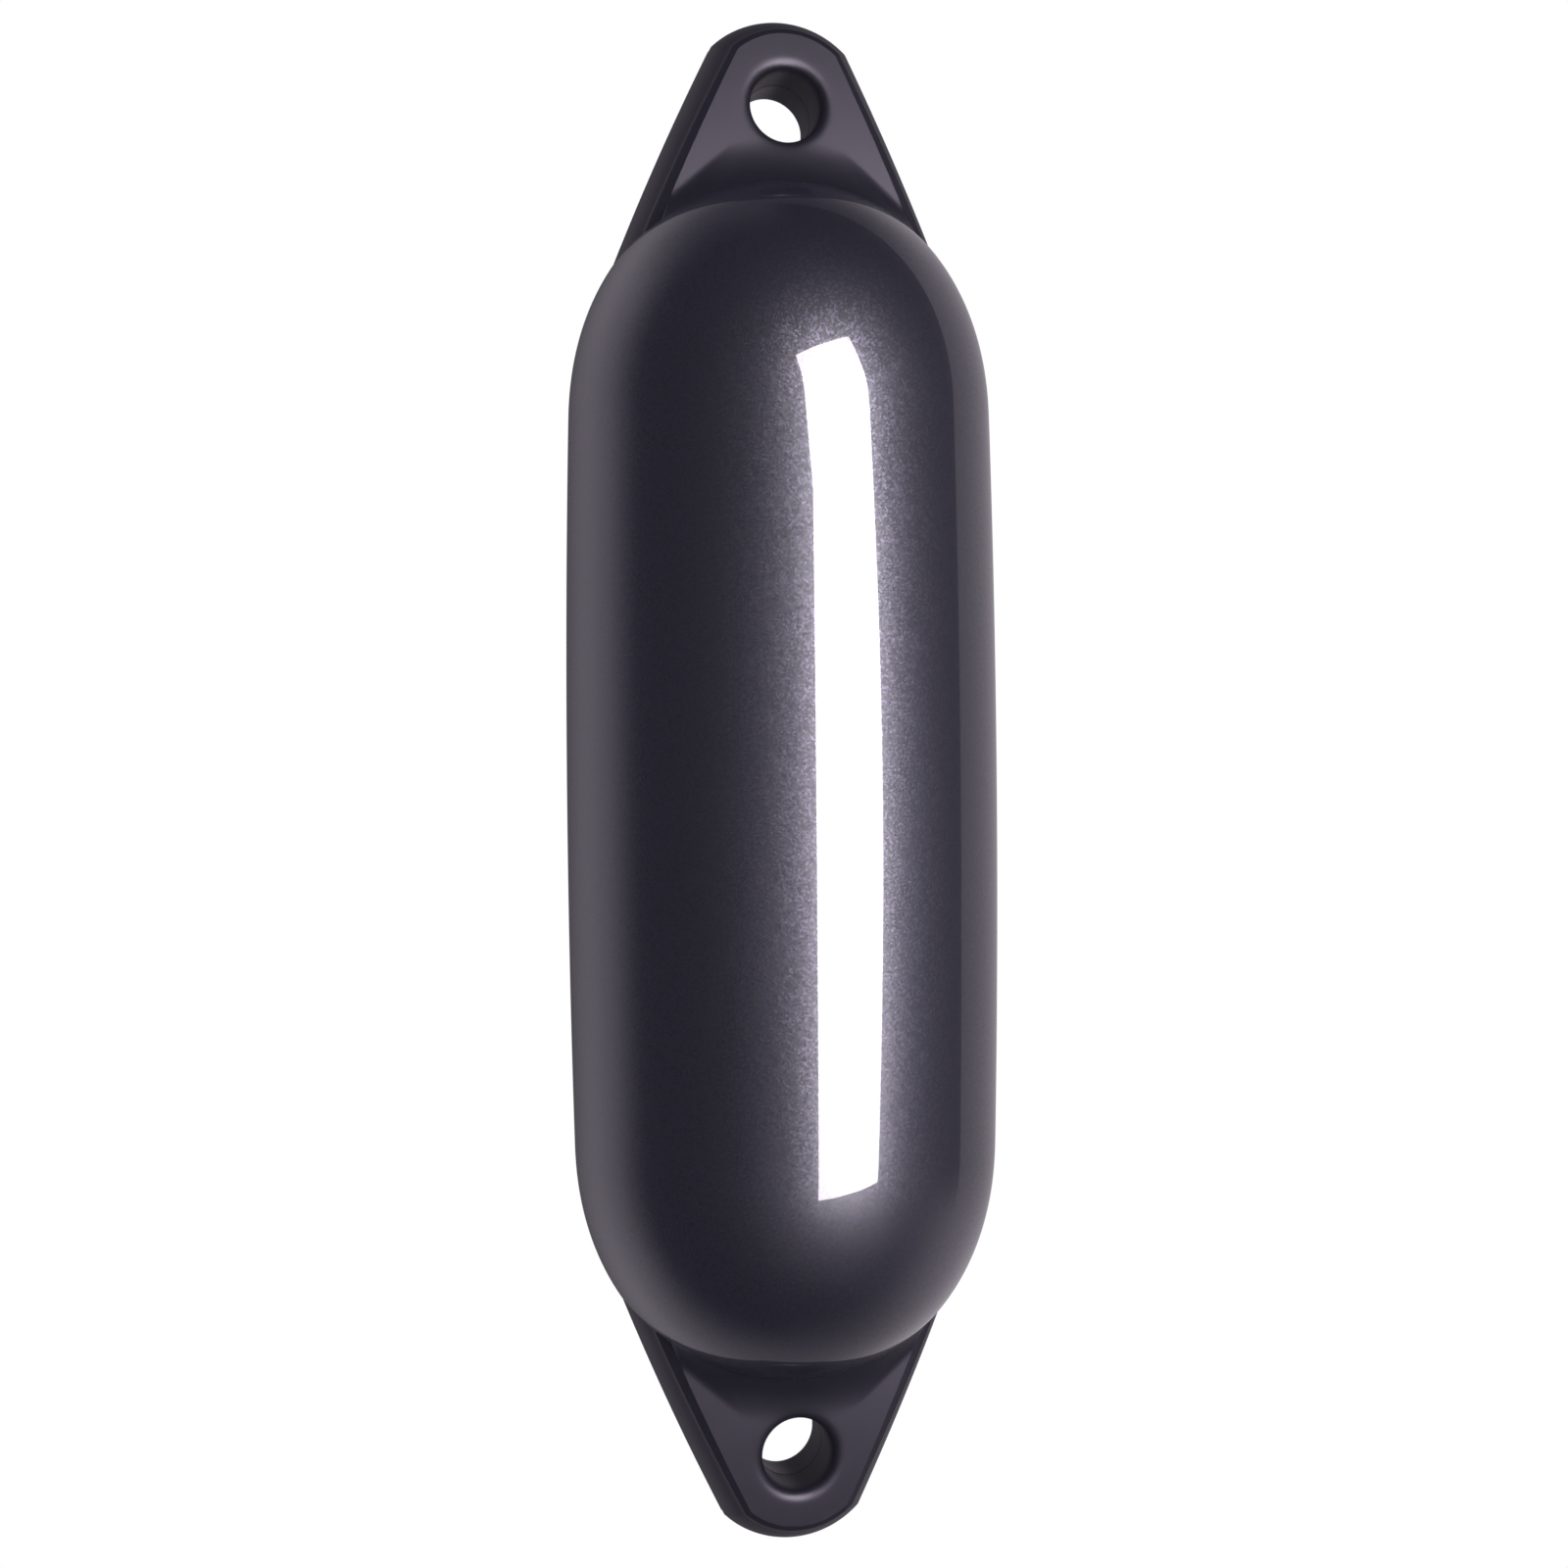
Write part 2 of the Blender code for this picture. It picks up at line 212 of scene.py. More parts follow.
def body_tree():
    tree = bpy.data.node_groups.new("turned_fender_body", "GeometryNodeTree")
    tree.interface.new_socket("Geometry", in_out='INPUT', socket_type="NodeSocketGeometry")
    for name, value in BODY_INPUTS.items():
        kind = "NodeSocketInt" if isinstance(value, int) else "NodeSocketFloat"
        tree.interface.new_socket(name, in_out='INPUT', socket_type=kind)
    tree.interface.new_socket("Material", in_out='INPUT', socket_type="NodeSocketMaterial")
    tree.interface.new_socket("Geometry", in_out='OUTPUT', socket_type="NodeSocketGeometry")
    size = add_node(tree, "NodeGroupInput").outputs

    height, side, climb = ring_height(tree, size)
    radius = ring_radius(tree, size, height, climb)
    line = add_node(tree, "GeometryNodeMeshLine", {"Count": size["Rings"], "Offset": (0, 0, 0)})
    place = add_node(tree, "ShaderNodeCombineXYZ", {"Z": calculate(tree, 'MULTIPLY', height, side)})
    moved = add_node(tree, "GeometryNodeSetPosition",
                     {"Geometry": line.outputs[0], "Position": place.outputs[0]})
    axis = add_node(tree, "GeometryNodeMeshToCurve", {"Mesh": moved.outputs[0]})
    circle = add_node(tree, "GeometryNodeCurvePrimitiveCircle",
                      {"Resolution": size["Ring Steps"], "Radius": 1})
    swept = add_node(tree, "GeometryNodeCurveToMesh",
                     {"Curve": axis.outputs[0], "Profile Curve": circle.outputs[0], "Scale": radius})
    closed = add_node(tree, "GeometryNodeMergeByDistance",
                      {"Geometry": swept.outputs[0], "Distance": POLE_MERGE})
    real = add_node(tree, "GeometryNodeRealizeInstances", {"Geometry": closed.outputs[0]})
    coated = add_node(tree, "GeometryNodeSetMaterial",
                      {"Geometry": real.outputs[0], "Material": size["Material"]})
    add_node(tree, "NodeGroupOutput", {"Geometry": coated.outputs[0]})
    spread_nodes(tree)
    return tree


turned_body = body_tree()
print("Nodes in the body's tree:", len(turned_body.nodes))

# %% [markdown]
# The modifier's inputs are set by their identifiers before the object is first evaluated.
# The evaluated object is then copied to a plain mesh, which no longer needs the tree.

# %% Sweep the body
def place_object(name, mesh):
    item = bpy.data.objects.new(name, mesh)
    bpy.context.scene.collection.objects.link(item)
    return item


def plain_mesh(item):
    """The object's evaluated shape as a mesh of its own, with its modifiers gone."""
    evaluated = item.evaluated_get(bpy.context.evaluated_depsgraph_get())
    mesh = bpy.data.meshes.new_from_object(evaluated)
    item.modifiers.clear()
    item.data = mesh
    return mesh


def face_outwards(mesh, merge=0.0):
    """Weld what lies together, turn every face outwards and print the volume."""
    shape = bmesh.new()
    shape.from_mesh(mesh)
    if merge:
        bmesh.ops.remove_doubles(shape, verts=shape.verts, dist=merge)
    bmesh.ops.recalc_face_normals(shape, faces=shape.faces)
    volume = shape.calc_volume(signed=True)
    open_edges = sum(not edge.is_manifold for edge in shape.edges)
    shape.to_mesh(mesh)
    shape.free()
    print("  litres:", round(volume * 1000, 3), "open edges:", open_edges)


gloss_vinyl = bpy.data.materials.new("gloss_vinyl")
satin_vinyl = bpy.data.materials.new("satin_vinyl")
plug_rubber = bpy.data.materials.new("plug_rubber")

skin = place_object("fender_skin", bpy.data.meshes.new("empty_start"))
sweep = skin.modifiers.new("turned", 'NODES')
sweep.node_group = turned_body
for socket in turned_body.interface.items_tree:
    if socket.in_out == 'INPUT' and socket.name in BODY_INPUTS:
        sweep[socket.identifier] = BODY_INPUTS[socket.name]
    if socket.in_out == 'INPUT' and socket.name == "Material":
        sweep[socket.identifier] = gloss_vinyl
skin.data = plain_mesh(skin)
face_outwards(skin.data)
print("Body faces:", len(skin.data.polygons))
print("Body's box, mm:", [round(side * 1000, 1) for side in skin.dimensions])

# %% [markdown]
# ## Outline of a lug
#
# A lug is a trapezium with an arc for its tip. Its outline is needed at many insets: on
# the band, up the drafted wall and along the face's chamfer. So it is a function of a step
# along the outline and of the inset, and not a list of points.

# %% Half the outline, from the tip to the foot
TIP_STEPS = 26
SIDE_STEPS = 44
FOOT_STEPS = 7
SCAN_STEP = 0.0001


def body_radius(height):
    barrel = BODY_RADIUS - BARREL_CROWN * (height / BARREL_HALF) ** 2
    climb = max(0.0, abs(height) - BARREL_HALF) / DOME_HEIGHT
    return barrel * max(0.0, 1.0 - climb ** DOME_CLIMB_POWER) ** (1 / DOME_WIDTH_POWER)


def corner_turn(inset):
    """Angle round the tip arc at which it meets a side, both moved inwards by inset."""
    first = math.asin(TIP_HALF_WIDTH / TIP_RADIUS)
    reach = TIP_RADIUS * math.sin(first + LUG_LEAN) - inset
    return math.asin(reach / (TIP_RADIUS - inset)) - LUG_LEAN


def tip_point(inset, share):
    swing = corner_turn(inset) * share
    radius = TIP_RADIUS - inset
    return radius * math.sin(swing), TIP_CENTRE + radius * math.cos(swing)


def straight_side(inset, height):
    corner_x, corner_height = tip_point(inset, 1.0)
    return corner_x + (corner_height - height) * math.tan(LUG_LEAN)


dome_heights = [DOME_TOP - SCAN_STEP * step for step in range(int(DOME_HEIGHT / SCAN_STEP))]
SIDE_END = max(dome_heights, key=lambda height: body_radius(height) - straight_side(0.0, height))
FOOT_INSET = FACE_INSET - EDGE_AT_ROOT
WING_FOOT = next(height for height in dome_heights
                 if math.hypot(straight_side(FOOT_INSET, height), HALF_THICKNESS) < body_radius(height))


def outline_point(index, inset):
    if index <= TIP_STEPS:
        return tip_point(inset, index / TIP_STEPS)
    if index <= TIP_STEPS + SIDE_STEPS:
        share = (index - TIP_STEPS) / SIDE_STEPS
        corner_height = tip_point(inset, 1.0)[1]
        height = corner_height + (SIDE_END - corner_height) * share
        bow = LUG_BOW * 4 * share * (1 - share)
        return straight_side(inset, height) + bow, height
    share = (index - TIP_STEPS - SIDE_STEPS - 1) / FOOT_STEPS
    return straight_side(inset, SIDE_END) * (1 - share), SIDE_END - FOOT_DEPTH


print("Wings meet the dome at height, mm:", round(WING_FOOT * 1000, 1))

# %% [markdown]
# ## Hollow between eye and dome
#
# Below the eye the lug's face bends forward and runs up onto the dome like a slide. It is
# a fillet between the flat face and a ball that stands in for the dome. The fillet
# is wide in the middle, where its foot dips under the dome's skin, and narrow on the wings.

# %% How far the hollow lifts the face
BALL_DROP = DOME_TOP - WING_FOOT
BALL_RADIUS = (body_radius(WING_FOOT) ** 2 + BALL_DROP ** 2) / (2 * BALL_DROP)
BALL_HEIGHT = DOME_TOP - BALL_RADIUS


def smooth(share):
    share = min(1.0, max(0.0, share))
    return share * share * (3 - 2 * share)


def valley_bend(x, height):
    """The hollow's radius at a point of the face, the angle bent by there and the whole bend."""
    across = math.hypot(x, height - BALL_HEIGHT)
    swing = math.atan2(abs(x), DOME_TOP + VALLEY_APEX - height)
    fade = smooth((VALLEY_END - swing) / (VALLEY_END - VALLEY_FULL))
    radius = VALLEY_END_RADIUS + (VALLEY_RADIUS - VALLEY_END_RADIUS) * fade
    ball = BALL_RADIUS - VALLEY_END_SINK - (VALLEY_SINK - VALLEY_END_SINK) * fade
    start = math.sqrt((ball + radius) ** 2 - (HALF_THICKNESS + radius) ** 2)
    foot = start * ball / (ball + radius)
    run = start - max(foot, min(start, across))
    return radius, math.asin(run / radius), math.asin((start - foot) / radius)


def valley_rise(x, height):
    radius, bend, _ = valley_bend(x, height)
    return radius * (1 - math.cos(bend))


print("Ball that stands in for the dome, mm:", round(BALL_RADIUS * 1000, 1))

# %% [markdown]
# ## Columns of a lug
#
# One quarter of a lug is a loft. Each column of points starts in the eye's throat, and runs
# out over the flare and the face, across the chamfer and its fine bead, and down the
# wall to the parting line. Faces join neighbouring columns. No primitive has this form, and
# a loft keeps its rows along the real edges, where a sculpted or remeshed form would
# blur them.

# %% Rows through the eye
FLARE_STEPS = 24
SEAM_ROWS = (1.0, 0.7, 0.4, 0.0)    # from the parting line's foot to its crest


def seam_rise(depth):
    """Height of the parting line's small ridge at a distance from the middle plane."""
    return SEAM_HEIGHT * smooth(1 - depth / SEAM_HALF_WIDTH)


def eye_rows(across, along):
    """Throat with its seam, then the flare, along one spoke of the eye."""
    rows = []
    for share in reversed(SEAM_ROWS):
        depth = SEAM_HALF_WIDTH * share
        radius = EYE_RADIUS - seam_rise(depth)
        rows.append((radius * across, -depth, EYE_HEIGHT + radius * along))
    flare_depth = HALF_THICKNESS - EYE_THROAT / 2
    for step in range(FLARE_STEPS + 1):
        bend = math.pi / 2 * step / FLARE_STEPS
        inward = max(0.0, math.cos(bend)) ** (2 / EYE_ROLL_POWER)
        radius = EYE_RADIUS + EYE_FLARE * (1 - inward)
        x, height = radius * across, EYE_HEIGHT + radius * along
        depth = EYE_THROAT / 2 + flare_depth * math.sin(bend) ** (2 / EYE_ROLL_POWER)
        rows.append((x, -depth - valley_rise(x, height) * step / FLARE_STEPS, height))
    return rows


print("Rows through the eye:", len(eye_rows(0.0, 1.0)))

# %% [markdown]
# On the face, all rows but the last lie before the place where the hollow reaches the
# dome, as nothing further in would be seen. They crowd towards that place, where the
# hollow bends most.

# %% Rows over the face
FACE_STEPS = 22
FACE_SCAN = 600
ROW_CROWDING = 1.3             # above 1 crowds the rows towards the face's edge and the dome


def face_shares(rim, inner):
    """Places from the eye's rim to the face's edge, all but the last outside the dome."""
    last = FACE_STEPS / (FACE_STEPS + 1)
    bare = last
    for step in range(FACE_SCAN):
        share = step / FACE_SCAN
        x = rim[0] + (inner[0] - rim[0]) * share
        height = rim[1] + (inner[1] - rim[1]) * share
        _, bend, full = valley_bend(x, height)
        if bend >= full:
            bare = min(last, share)
            break
    ways = [step / FACE_STEPS for step in range(1, FACE_STEPS + 1)]
    return [bare * (1 - (1 - way) ** ROW_CROWDING) for way in ways] + [1.0]


print("Rows over the face:", FACE_STEPS + 1)

# %% [markdown]
# The face ends in a chamfer that grows towards the dome. After it come a fine bead, the
# drafted wall with its slight swell, and the upright band with the parting line in its
# middle. Each place is an inset from the band's outline and a depth from the middle plane.

# %% Rows over the edge and down the wall
BEAD_STEPS = 6
WALL_STEPS = 9


def edge_width(height):
    share = min(1.0, (LUG_TIP - height) / (LUG_TIP - WING_FOOT))
    return EDGE_AT_TIP + (EDGE_AT_ROOT - EDGE_AT_TIP) * share


def edge_and_wall_rows(index, edge):
    """Chamfer, bead, drafted wall and upright band, down to the parting line."""
    draft = FACE_INSET - edge
    slant = math.atan2(draft, HALF_THICKNESS - HALF_BAND)
    wall_inset = draft - edge * math.sin(slant)
    wall_depth = HALF_THICKNESS - edge * math.cos(slant)
    places = []
    hold = CREASE / (2 * edge)
    for share in (0.0, hold, 0.5, 1 - hold):
        inset = FACE_INSET * (1 - share) + wall_inset * share
        places.append((inset, HALF_THICKNESS * (1 - share) + wall_depth * share))

    wall_length = math.hypot(wall_inset - SEAM_HEIGHT, wall_depth - HALF_BAND)
    bead_height = BEAD_HEIGHT * edge / EDGE_AT_ROOT
    runs = [2 * BEAD_HALF_WIDTH * step / BEAD_STEPS for step in range(BEAD_STEPS)]
    after = runs[-1] + CREASE
    runs += [after + (wall_length - after) * step / WALL_STEPS for step in range(WALL_STEPS + 1)]
    for run in runs:
        share = run / wall_length
        bead = bead_height * smooth(1 - abs(run / BEAD_HALF_WIDTH - 1))
        swell = WALL_SWELL * 4 * share * (1 - share)
        inset = wall_inset * (1 - share) + SEAM_HEIGHT * share - swell - bead * math.cos(slant)
        places.append((inset, wall_depth * (1 - share) + HALF_BAND * share + bead * math.sin(slant)))

    for share in SEAM_ROWS:
        depth = SEAM_HALF_WIDTH * share
        places.append((SEAM_HEIGHT - seam_rise(depth), depth))
    points = [(*outline_point(index, inset), depth) for inset, depth in places]
    return [(x, -depth, height) for x, height, depth in points]


print("Rows over the edge and the wall:", len(edge_and_wall_rows(0, EDGE_AT_TIP)))

# %% [markdown]
# A whole column strings these rows together. The face's edge decides which spoke of the eye
# the column starts on, so that columns fan out from the eye and never cross.


# %% One whole column
def lug_column(index):
    edge = edge_width(outline_point(index, FACE_INSET)[1])
    inner = outline_point(index, FACE_INSET + CREASE)
    swing = math.atan2(inner[0], inner[1] - EYE_HEIGHT)
    rows = eye_rows(math.sin(swing), math.cos(swing))
    rim = (rows[-1][0], rows[-1][2])
    for share in face_shares(rim, inner):
        x = rim[0] + (inner[0] - rim[0]) * share
        height = rim[1] + (inner[1] - rim[1]) * share
        rows.append((x, -HALF_THICKNESS - valley_rise(x, height), height))
    return rows + edge_and_wall_rows(index, edge)


print("Rows in a column:", len(lug_column(0)))

# %% [markdown]
# ## Both lugs from one quarter
#
# The mould is the same left and right, front and back, top and bottom. So the quarter is
# mirrored in X, Y and Z by one modifier, which also welds the halves where they meet.

# %% Loft and mirror
MERGE = 0.00002


def loft(columns):
    shape = bmesh.new()
    grid = [[shape.verts.new(point) for point in column] for column in columns]
    for left, right in zip(grid, grid[1:]):
        for row in range(len(left) - 1):
            shape.faces.new((left[row], left[row + 1], right[row + 1], right[row]))
    mesh = bpy.data.meshes.new("lug_quarter")
    shape.to_mesh(mesh)
    shape.free()
    return mesh


column_count = TIP_STEPS + SIDE_STEPS + FOOT_STEPS + 2
lug_pair = place_object("lug_pair", loft([lug_column(index) for index in range(column_count)]))
lug_pair.data.materials.append(satin_vinyl)
mirror = lug_pair.modifiers.new("other_quarters", 'MIRROR')
mirror.use_axis = (True, True, True)
mirror.merge_threshold = MERGE
plain_mesh(lug_pair)
face_outwards(lug_pair.data, MERGE)
print("Lug faces:", len(lug_pair.data.polygons))

# %% [markdown]
# ## Valve pocket
#
# A fender of this kind is pumped up through a soft needle valve on its hidden side. The CAD
# model has its boss, its pocket and the plug, so the fine surface gets them too. They
# are turned shapes, placed on the back of the lower dome, square to its skin.

# %% Seat of the valve
VALVE_BELOW_BARREL = 0.030     # from the end of the barrel down to the valve
SLOPE_STEP = 0.0005


def valve_seat():
    height = -BARREL_HALF - VALVE_BELOW_BARREL
    slope = (body_radius(height + SLOPE_STEP) - body_radius(height - SLOPE_STEP)) / (2 * SLOPE_STEP)
    outward = Vector((0.0, 1.0, -slope)).normalized()
    place = Vector((0.0, body_radius(height), height))
    return Matrix.Translation(place) @ outward.to_track_quat('Z', 'X').to_matrix().to_4x4()


print("Valve at, mm:", [round(part * 1000, 1) for part in valve_seat().translation])

# %% [markdown]
# Each shape is a line of (radius, height) points that is spun once round the valve's axis.
# The pocket is a little larger than the plug, and is cut out of the moulding later.

# %% Boss, pocket and plug
VALVE_STEPS = 96
VALVE_RADIUS = 0.0065
VALVE_LENGTH = 0.011
VALVE_SETBACK = 0.0004         # how far the plug's top lies below the boss
VALVE_EDGE = 0.0008
NEEDLE_RADIUS = 0.0009
NEEDLE_DEPTH = 0.007
FUNNEL_RADIUS = 0.0024         # the needle's hole is countersunk
FUNNEL_DEPTH = 0.0011
BOSS_RADIUS = 0.0115
BOSS_RISE = 0.0006
BOSS_EDGE = 0.0005
SEAT_GAP = 0.0003              # between the plug and its pocket
ROUND_STEPS = 6


def rounded(radius, top, edge):
    """Points of a quarter round at the top of a wall, from its flat end to its side."""
    turns = [math.pi / 2 * step / ROUND_STEPS for step in range(ROUND_STEPS + 1)]
    return [(radius - edge + edge * math.sin(turn), top - edge + edge * math.cos(turn)) for turn in turns]


def turned(name, profile, material):
    """A closed shape from (radius, height) points, spun about the valve's axis."""
    shape = bmesh.new()
    points = [shape.verts.new((radius, 0.0, height)) for radius, height in profile]
    edges = [shape.edges.new(pair) for pair in zip(points, points[1:])]
    bmesh.ops.spin(shape, geom=points + edges, axis=(0, 0, 1), cent=(0, 0, 0),
                   steps=VALVE_STEPS, angle=2 * math.pi, use_merge=True)
    bmesh.ops.remove_doubles(shape, verts=shape.verts, dist=MERGE)
    bmesh.ops.transform(shape, matrix=valve_seat(), verts=shape.verts)
    mesh = bpy.data.meshes.new(name)
    shape.to_mesh(mesh)
    shape.free()
    item = place_object(name, mesh)
    item.data.materials.append(material)
    face_outwards(mesh)
    return item


boss = turned("valve_boss", [(0, BOSS_RISE), *rounded(BOSS_RADIUS, BOSS_RISE, BOSS_EDGE),
                             (BOSS_RADIUS, -BOSS_RADIUS), (0, -BOSS_RADIUS)], gloss_vinyl)
pocket_floor = BOSS_RISE - VALVE_SETBACK - VALVE_LENGTH - SEAT_GAP
pocket_radius = VALVE_RADIUS + SEAT_GAP
pocket = turned("valve_pocket", [(0, BOSS_RISE + SEAT_GAP), (pocket_radius, BOSS_RISE + SEAT_GAP),
                                 (pocket_radius, pocket_floor), (0, pocket_floor)], gloss_vinyl)
valve_top = BOSS_RISE - VALVE_SETBACK
plug = turned("needle_plug", [(0, valve_top - NEEDLE_DEPTH), (NEEDLE_RADIUS, valve_top - NEEDLE_DEPTH),
                              (NEEDLE_RADIUS, valve_top - FUNNEL_DEPTH), (FUNNEL_RADIUS, valve_top),
                              *rounded(VALVE_RADIUS, valve_top, VALVE_EDGE),
                              (VALVE_RADIUS, valve_top - VALVE_LENGTH), (0, valve_top - VALVE_LENGTH)],
              plug_rubber)
print("Plug faces:", len(plug.data.polygons))

# %% [markdown]
# ## One moulding
#
# The body, the lugs and the boss come out of the mould in one piece, so they are united into
# one closed surface. The union leaves a few slivers, which are closed up. Where a satin
# face meets a glossy one the edge is marked sharp, which keeps each side's shading clean
# right up to the line that the mould has left there.

# %% Unite and mark the lines of the mould
SHARP_ANGLE = math.radians(50)
SLIVER = 0.00002               # edges shorter than this are closed up after the union


def combine(item, other, operation):
    step = item.modifiers.new(operation.lower(), 'BOOLEAN')
    step.object = other
    step.operation = operation
    step.solver = 'EXACT'
    step.material_mode = 'TRANSFER'


combine(skin, lug_pair, 'UNION')
combine(skin, boss, 'UNION')
combine(skin, pocket, 'DIFFERENCE')
plain_mesh(skin)
for tool in (lug_pair, boss, pocket):
    bpy.data.objects.remove(tool, do_unlink=True)
skin.data.name = "fender_skin"


def mark_sharp(mesh, angle):
    """Close slivers and smooth all faces, but keep steep folds and changes of finish sharp."""
    shape = bmesh.new()
    shape.from_mesh(mesh)
    bmesh.ops.dissolve_degenerate(shape, dist=SLIVER, edges=shape.edges[:])
    bmesh.ops.triangulate(shape, faces=[face for face in shape.faces if len(face.verts) > 4])
    for face in shape.faces:
        face.smooth = True
    for edge in shape.edges:
        if len(edge.link_faces) != 2:
            continue
        first, second = edge.link_faces
        same_finish = first.material_index == second.material_index
        edge.smooth = same_finish and edge.calc_face_angle() < angle
    lines = sum(not edge.smooth for edge in shape.edges)
    open_edges = sum(not edge.is_manifold for edge in shape.edges)
    shape.to_mesh(mesh)
    shape.free()
    print("Sharp edges:", lines, "open edges:", open_edges)
    print("  materials:", [slot.name for slot in mesh.materials])


mark_sharp(skin.data, SHARP_ANGLE)
mark_sharp(plug.data, SHARP_ANGLE)
skin.data.calc_loop_triangles()
print("Triangles in the moulding:", len(skin.data.loop_triangles))

# %% [markdown]
# ## Shared surface effects
#
# Two effects are used by more than one finish, so each is a node group with named inputs.
# `metal_flake` gives every small cell its own tilt, as flakes lie in the vinyl.
# `fine_grain` is the sand-blasted skin of the mould, as a height and a mask.


# %% Groups for flakes and grain
def new_group(name, inputs, outputs):
    tree = bpy.data.node_groups.new(name, "ShaderNodeTree")
    for label, kind, value in inputs:
        tree.interface.new_socket(label, in_out='INPUT', socket_type=kind).default_value = value
    for label, kind in outputs:
        tree.interface.new_socket(label, in_out='OUTPUT', socket_type=kind)
    return tree


def vector_step(tree, operation, inputs):
    return add_node(tree, "ShaderNodeVectorMath", inputs, operation=operation).outputs[0]


def metal_flake_group():
    tree = new_group("metal_flake",
                     [("Flake Size", "NodeSocketFloat", 0.0005), ("Tilt", "NodeSocketFloat", 0.3),
                      ("Share", "NodeSocketFloat", 0.3)],
                     [("Normal", "NodeSocketVector"), ("Flake", "NodeSocketFloat")])
    size = add_node(tree, "NodeGroupInput").outputs
    place = add_node(tree, "ShaderNodeTexCoord").outputs["Object"]
    cells = add_node(tree, "ShaderNodeTexVoronoi",
                     {"Vector": place, "Scale": calculate(tree, 'DIVIDE', 1, size["Flake Size"])})
    turned_way = vector_step(tree, 'SUBTRACT', {0: cells.outputs["Color"], 1: (0.5, 0.5, 0.5)})
    lean = vector_step(tree, 'SCALE', {0: turned_way, "Scale": size["Tilt"]})
    skin_normal = add_node(tree, "ShaderNodeNewGeometry").outputs["Normal"]
    summed = vector_step(tree, 'ADD', {0: skin_normal, 1: lean})
    normal = vector_step(tree, 'NORMALIZE', {0: summed})
    draw = add_node(tree, "ShaderNodeSeparateColor", {0: cells.outputs["Color"]}).outputs[2]
    flake = calculate(tree, 'LESS_THAN', draw, size["Share"])
    add_node(tree, "NodeGroupOutput", {"Normal": normal, "Flake": flake})
    spread_nodes(tree)
    return tree


def fine_grain_group():
    tree = new_group("fine_grain",
                     [("Grain Size", "NodeSocketFloat", 0.0004), ("Patch Size", "NodeSocketFloat", 0.012)],
                     [("Height", "NodeSocketFloat"), ("Patches", "NodeSocketFloat")])
    size = add_node(tree, "NodeGroupInput").outputs
    place = add_node(tree, "ShaderNodeTexCoord").outputs["Object"]
    grain_scale = calculate(tree, 'DIVIDE', 1, size["Grain Size"])
    patch_scale = calculate(tree, 'DIVIDE', 1, size["Patch Size"])
    grain = add_node(tree, "ShaderNodeTexNoise", {"Vector": place, "Scale": grain_scale, "Detail": 2.0})
    patches = add_node(tree, "ShaderNodeTexNoise", {"Vector": place, "Scale": patch_scale, "Detail": 4.0})
    add_node(tree, "NodeGroupOutput", {"Height": grain.outputs[0], "Patches": patches.outputs[0]})
    spread_nodes(tree)
    return tree


metal_flake = metal_flake_group()
fine_grain = fine_grain_group()
print("Groups:", metal_flake.name, fine_grain.name)

# %% [markdown]
# ## Glossy vinyl of the barrel
#
# Under a clear, mirror-smooth skin lies dark vinyl full of fine flakes. The clear skin is
# the coat of a Principled shader, which shows crisp reflections. The layer below is
# rougher, so that the same softbox spreads into a glow, and the flakes break it up.

# %% Gloss vinyl
def start_material(material, **sockets):
    """Set sockets of the material's shader to plain values. Returns the tree and the shader."""
    material.use_nodes = True
    shader = material.node_tree.nodes["Principled BSDF"]
    for name, value in sockets.items():
        shader.inputs[name.replace("_", " ")].default_value = value
    return material.node_tree, shader


def use_group(tree, group, **inputs):
    node = tree.nodes.new("ShaderNodeGroup")
    node.node_tree = group
    for name, value in inputs.items():
        node.inputs[name.replace("_", " ")].default_value = value
    return node.outputs


def mix_colours(tree, share, first, second):
    """Colour between two others. Inputs 6 and 7 of a Mix node are its colours."""
    return add_node(tree, "ShaderNodeMix", {"Factor": share, 6: first, 7: second},
                    data_type='RGBA').outputs[2]


VINYL_COLOUR = (0.0172, 0.0157, 0.0340, 1)
VINYL_CLOUD = (0.0192, 0.0174, 0.0370, 1)
FLAKE_COLOUR = (0.068, 0.063, 0.086, 1)
FLAKE_METAL = 0.8

tree, shader = start_material(gloss_vinyl, Roughness=0.385, Coat_Weight=1.0,
                              Coat_Roughness=0.012, Coat_IOR=1.5)
flakes = use_group(tree, metal_flake, Flake_Size=0.0006, Tilt=0.08, Share=0.28)
cloud = use_group(tree, fine_grain, Patch_Size=0.03)
ground = mix_colours(tree, cloud["Patches"], VINYL_COLOUR, VINYL_CLOUD)
flaked = mix_colours(tree, flakes["Flake"], ground, FLAKE_COLOUR)
tree.links.new(flaked, shader.inputs["Base Color"])
tree.links.new(calculate(tree, 'MULTIPLY', flakes["Flake"], FLAKE_METAL), shader.inputs["Metallic"])
tree.links.new(flakes["Normal"], shader.inputs["Normal"])
print("Gloss vinyl nodes:", len(tree.nodes))

# %% [markdown]
# ## Satin vinyl of the lugs
#
# The same vinyl, but that part of the mould is blasted, so the skin scatters light. It
# has no clear coat, a higher roughness and a fine grain as a bump.

# %% Satin vinyl
SATIN_COLOUR = (0.0145, 0.0135, 0.0255, 1)
SATIN_CLOUD = (0.0175, 0.0160, 0.0290, 1)


def grained(tree, shader, grain, colours, strength, distance):
    """A cloud of two colours and the fine grain as a bump, from the grain's group."""
    tree.links.new(mix_colours(tree, grain["Patches"], *colours), shader.inputs["Base Color"])
    bump = add_node(tree, "ShaderNodeBump",
                    {"Strength": strength, "Distance": distance, "Height": grain["Height"]})
    tree.links.new(bump.outputs[0], shader.inputs["Normal"])


